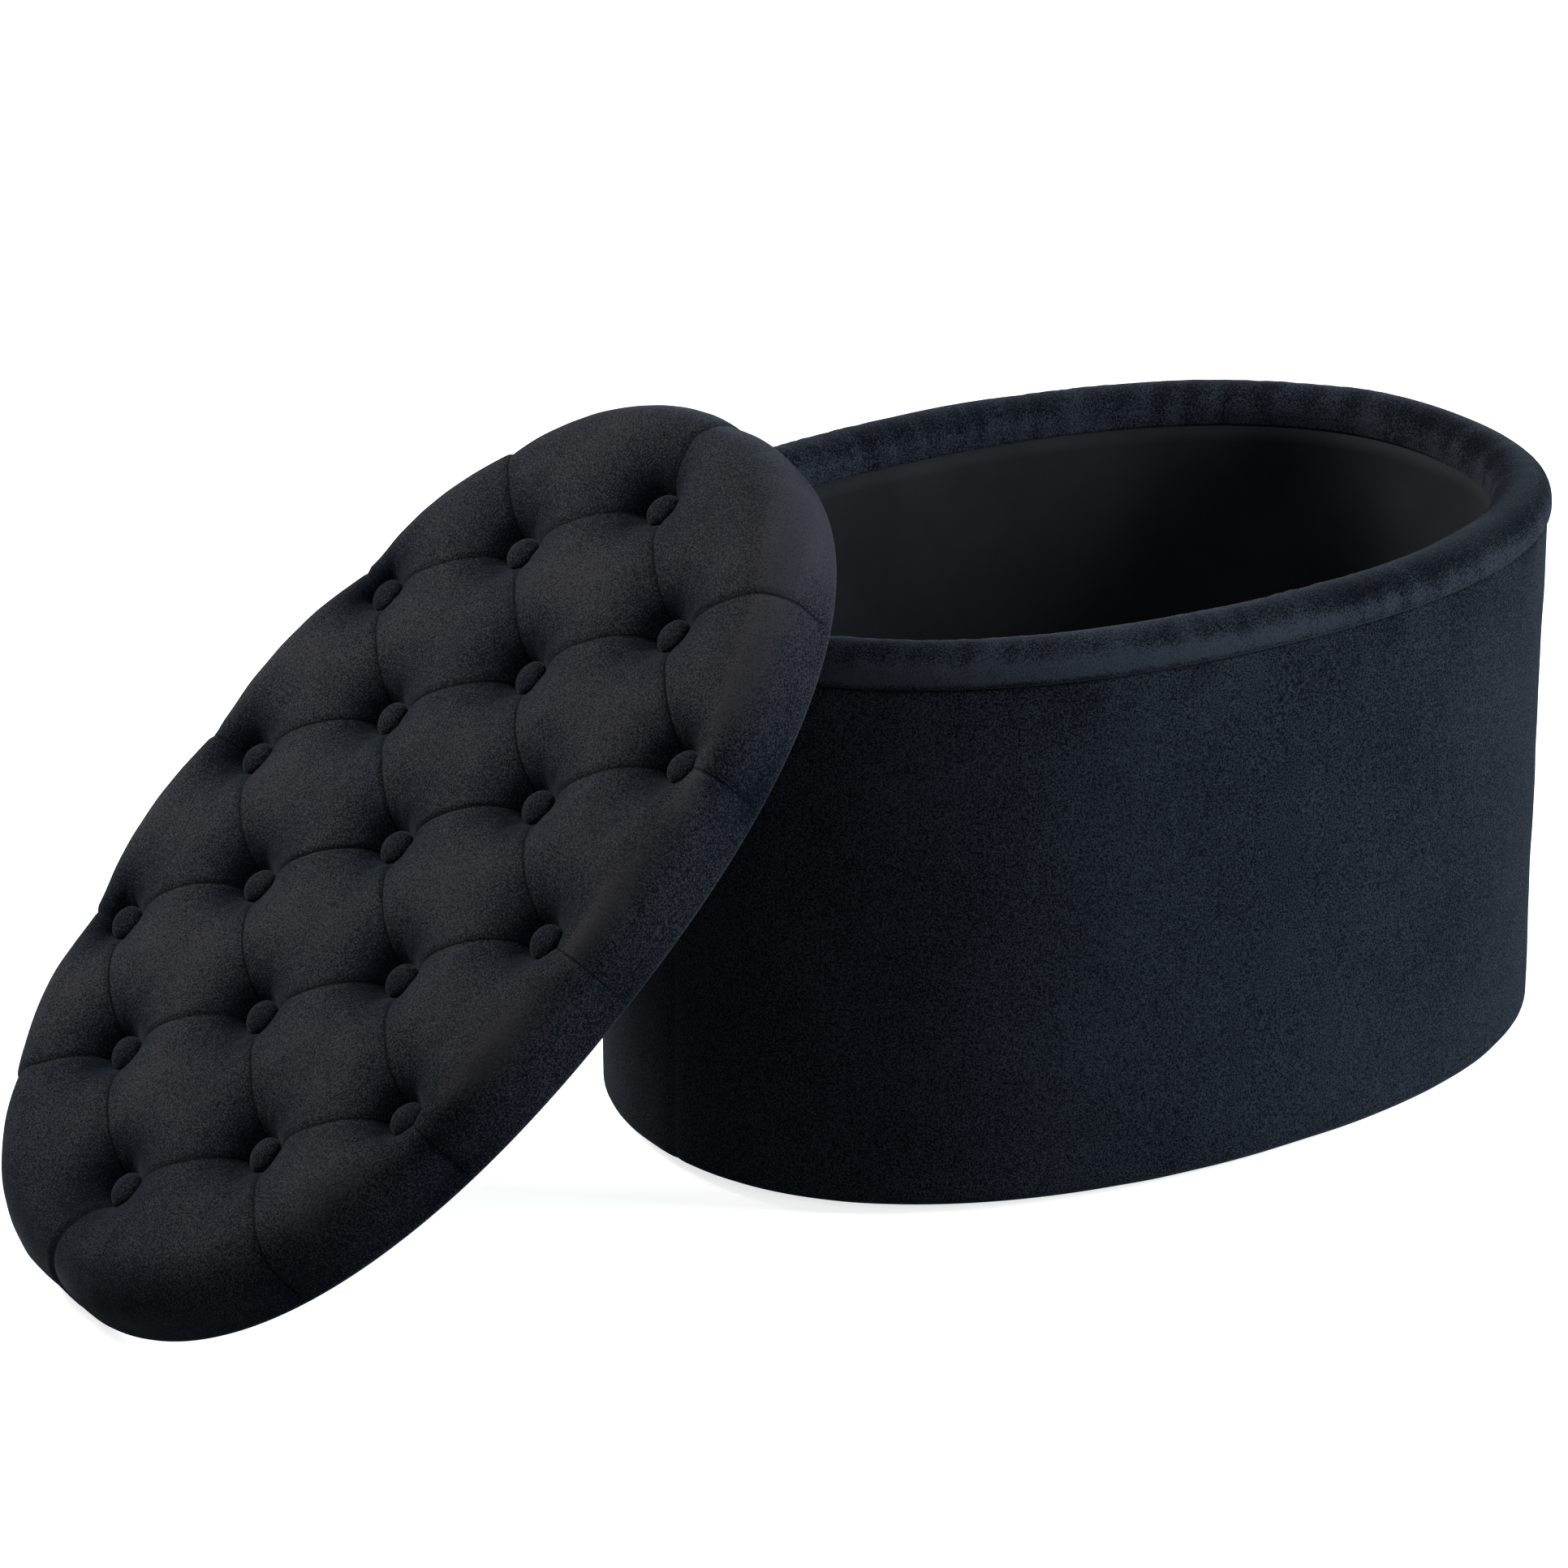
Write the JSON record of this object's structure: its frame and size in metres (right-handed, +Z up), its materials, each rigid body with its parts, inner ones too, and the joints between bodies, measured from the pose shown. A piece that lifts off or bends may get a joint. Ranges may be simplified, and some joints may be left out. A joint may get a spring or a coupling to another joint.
{
  "type": "storage ottoman",
  "caption": "Oval upholstered storage ottoman: open tub with a padded rim, and a loose button-tufted lid leaning on one end of the tub.",
  "frame": {"origin": "on the floor under the centre of the tub, at the underside of the central glide", "axes": "+X along the tub's length away from the leaning lid, +Y along its width, +Z up"},
  "size_m": [1.1595, 0.494, 0.5138],
  "materials": {
    "tub_velvet": "short-pile velvet, black with a cool cast",
    "lid_velvet": "short-pile velvet, black with a soft grey sheen",
    "lining": "smooth matt charcoal lining cloth",
    "foam": "upholstery foam",
    "fibreboard": "raw fibreboard",
    "timber": "planed plywood and softwood",
    "plastic": "moulded black plastic"
  },
  "bodies": {
    "tub": {"base_panel": "fibreboard", "dust_cover": "lining", "floor_board": "lining", "glide_centre": "plastic", "glide_1": "plastic", "glide_2": "plastic", "glide_3": "plastic", "glide_4": "plastic", "glide_5": "plastic", "glide_6": "plastic", "wall_post_1": "timber", "wall_post_2": "timber", "wall_post_3": "timber", "wall_post_4": "timber", "wall_post_5": "timber", "wall_post_6": "timber", "wall_post_7": "timber", "wall_post_8": "timber", "outer_board": "fibreboard", "inner_board": "fibreboard", "wall_foam": "foam", "wall_lining": "lining", "wall_cover": "tub_velvet", "rim_ring_back": "timber", "rim_ring_front": "timber", "rim_dowel_right": "timber", "rim_foam": "foam", "rim_cover": "tub_velvet"},
    "rim_pivot": {"rim_dowel_left": "timber"},
    "lid": {"lid_board": "fibreboard", "lid_foam": "foam", "lid_cover": "lid_velvet", "lid_lining": "lining", "lid_locator_1": "timber", "lid_locator_2": "timber", "lid_locator_3": "timber", "lid_locator_4": "timber", "lid_button_01": "lid_velvet", "lid_button_02": "lid_velvet", "lid_button_03": "lid_velvet", "lid_button_04": "lid_velvet", "lid_button_05": "lid_velvet", "lid_button_06": "lid_velvet", "lid_button_07": "lid_velvet", "lid_button_08": "lid_velvet", "lid_button_09": "lid_velvet", "lid_button_10": "lid_velvet", "lid_button_11": "lid_velvet", "lid_button_12": "lid_velvet", "lid_button_13": "lid_velvet", "lid_button_14": "lid_velvet", "lid_button_15": "lid_velvet", "lid_button_16": "lid_velvet", "lid_button_17": "lid_velvet", "lid_button_18": "lid_velvet", "lid_button_19": "lid_velvet"}
  },
  "joints": [
    {"name": "lid_tilt", "type": "hinge", "parent": "tub", "child": "rim_pivot", "pos_m": [-0.333, 0, 0.383], "axis": [0, 1, 0], "range_deg": [0, 43]},
    {"name": "lid_slide", "type": "slide", "parent": "rim_pivot", "child": "lid", "axis": [0.7314, 0, 0.682], "range_m": [0, 0.5642]}
  ]
}
